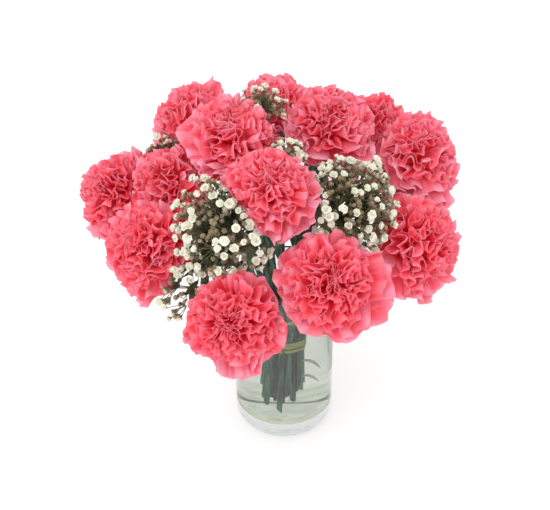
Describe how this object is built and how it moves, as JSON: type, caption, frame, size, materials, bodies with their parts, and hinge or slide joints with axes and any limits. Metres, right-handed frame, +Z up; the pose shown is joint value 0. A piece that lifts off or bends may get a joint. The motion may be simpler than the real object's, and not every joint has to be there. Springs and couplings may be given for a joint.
{
  "type": "carnations in a vase",
  "caption": "Round bunch of ruffled pink carnations with baby's breath, tied and standing in water in a clear glass cylinder vase.",
  "frame": {"origin": "middle of the vase's underside, on the surface it stands on", "axes": "+Z up along the vase's axis, the front of the bunch faces -Y, +X to the right seen from the front"},
  "size_m": [0.2984, 0.2818, 0.2915],
  "materials": {
    "petals": "soft pink petals, paler at the edge",
    "stems": "smooth grey-green with a waxy bloom",
    "florets": "matt cream-white florets on thin green-brown twigs",
    "vase": "clear, polished",
    "water": "clear, slightly green water",
    "tie": "matt yellow-green band"
  },
  "bodies": {
    "root": {"vase": "vase", "water": "water", "tie": "tie", "bloom_01": "petals", "stem_01": "stems", "bloom_02": "petals", "stem_02": "stems", "bloom_03": "petals", "stem_03": "stems", "bloom_04": "petals", "stem_04": "stems", "bloom_05": "petals", "stem_05": "stems", "bloom_06": "petals", "stem_06": "stems", "bloom_07": "petals", "stem_07": "stems", "bloom_08": "petals", "stem_08": "stems", "bloom_09": "petals", "stem_09": "stems", "bloom_10": "petals", "stem_10": "stems", "bloom_11": "petals", "stem_11": "stems", "bloom_12": "petals", "stem_12": "stems", "bloom_13": "petals", "stem_13": "stems", "bloom_14": "petals", "stem_14": "stems", "bloom_15": "petals", "stem_15": "stems", "bloom_16": "petals", "stem_16": "stems", "bloom_17": "petals", "stem_17": "stems", "spray_01": "florets", "spray_02": "florets", "spray_03": "florets", "spray_04": "florets", "spray_05": "florets", "spray_06": "florets", "spray_07": "florets"}
  },
  "joints": []
}
